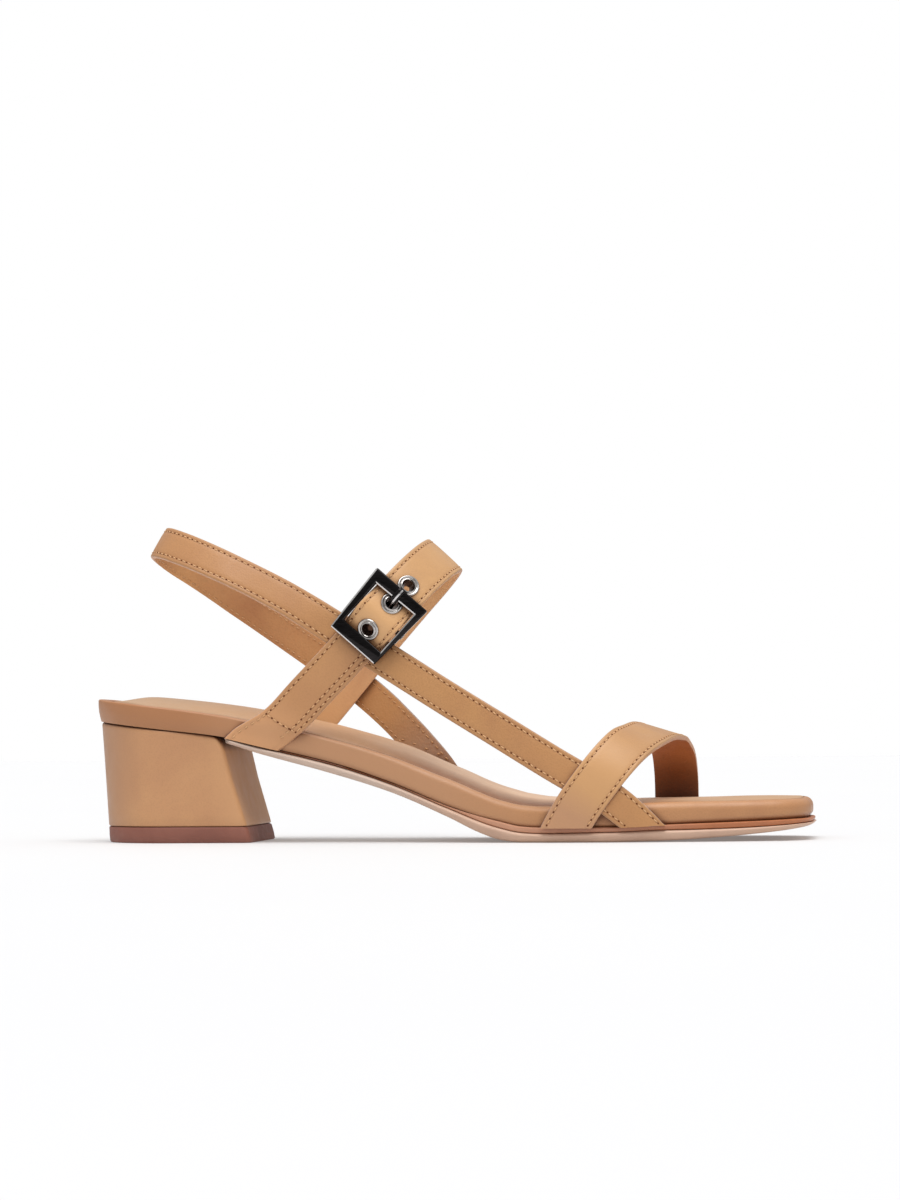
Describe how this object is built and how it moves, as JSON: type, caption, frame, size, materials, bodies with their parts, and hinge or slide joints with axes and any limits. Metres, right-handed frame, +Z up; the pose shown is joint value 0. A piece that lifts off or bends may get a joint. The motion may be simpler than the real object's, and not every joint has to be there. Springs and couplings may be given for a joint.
{
  "type": "low heel sandal",
  "caption": "Women's open sandal with a leather-wrapped footbed, a low block heel, crossing straps, a buckled instep strap and a toe strap. Right shoe.",
  "frame": {"origin": "on the floor, under the middle of the shoe's bounding box", "axes": "+X from heel to toe, +Y to the inner side of the foot, +Z up"},
  "size_m": [0.2476, 0.0849, 0.1092],
  "materials": {
    "tan_leather": "smooth tan leather, semi-matt",
    "sock_leather": "paler soft lining leather",
    "welt_brown": "brown stained edge",
    "sole_beige": "pale beige sole, satin",
    "lift_rubber": "red-brown rubber, matt",
    "dark_nickel": "glossy black nickel plate"
  },
  "bodies": {
    "root": {"top_lift": "lift_rubber", "heel_block": "tan_leather", "outsole": "sole_beige", "welt": "welt_brown", "footbed": "tan_leather", "insole": "sock_leather", "upper": "tan_leather", "buckle_frame": "dark_nickel", "buckle_prong": "dark_nickel", "eyelet_1": "dark_nickel", "eyelet_2": "dark_nickel", "eyelet_3": "dark_nickel"}
  },
  "joints": []
}
